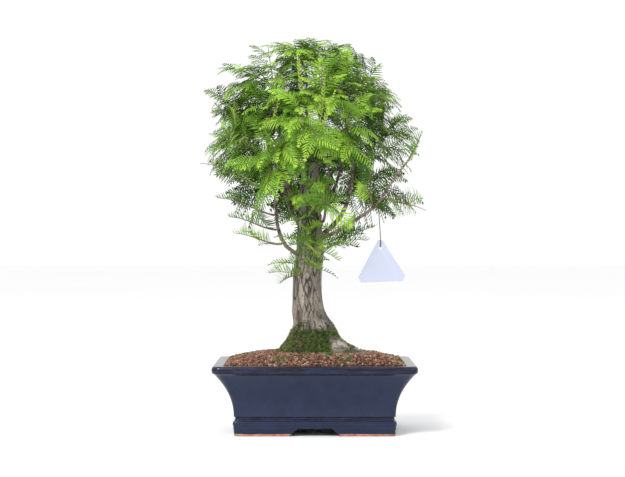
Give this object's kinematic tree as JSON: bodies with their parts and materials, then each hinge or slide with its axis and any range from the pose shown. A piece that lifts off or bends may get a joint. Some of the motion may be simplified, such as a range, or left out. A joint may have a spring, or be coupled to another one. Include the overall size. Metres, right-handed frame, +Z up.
{
  "type": "dawn redwood bonsai in a pot",
  "caption": "Upright dawn redwood bonsai with feathery green foliage, mossy root flare and a blank hang tag, growing in a rectangular navy-glazed pot with feet.",
  "frame": {"origin": "under the middle of the plant on the plane that the pot's feet stand on", "axes": "+Z up along the trunk, +X to the right seen from the front, -Y towards the front"},
  "size_m": [0.3555, 0.284, 0.609],
  "materials": {
    "navy_glaze": "glossy",
    "grit_soil": "matte grains",
    "moss": "matte",
    "bark": "rough fissured bark",
    "limb_bark": "thin brown bark",
    "needles": "satin",
    "wire": "dark satin",
    "tag": "satin"
  },
  "bodies": {
    "root": {"bough_back_left": "limb_bark", "bough_back_low": "limb_bark", "bough_back_right": "limb_bark", "bough_far_right": "limb_bark", "bough_inner_right": "limb_bark", "bough_left": "limb_bark", "bough_right": "limb_bark", "bough_upper_left": "limb_bark", "foliage_back_left": "needles", "foliage_back_low": "needles", "foliage_back_lowest": "needles", "foliage_back_middle": "needles", "foliage_back_right": "needles", "foliage_back_side": "needles", "foliage_back_top": "needles", "foliage_back_wide": "needles", "foliage_crest_left": "needles", "foliage_crest_right": "needles", "foliage_dome_front": "needles", "foliage_dome_left": "needles", "foliage_dome_middle": "needles", "foliage_dome_right": "needles", "foliage_front_low": "needles", "foliage_front_middle": "needles", "foliage_front_upper": "needles", "foliage_left_long": "needles", "foliage_left_lower": "needles", "foliage_left_lowest": "needles", "foliage_left_middle": "needles", "foliage_right_front": "needles", "foliage_right_inner": "needles", "foliage_right_low": "needles", "foliage_right_lower": "needles", "foliage_right_outer": "needles", "foliage_right_tip": "needles", "foliage_shoot_left": "needles", "foliage_shoulder_left": "needles", "foliage_top_left": "needles", "foliage_top_middle": "needles", "foliage_top_right": "needles", "foliage_upper_left": "needles", "leader_left": "limb_bark", "leader_right": "limb_bark", "moss": "moss", "pot": "navy_glaze", "soil": "grit_soil", "tag": "tag", "tag_wire": "wire", "trunk": "bark"}
  },
  "joints": []
}
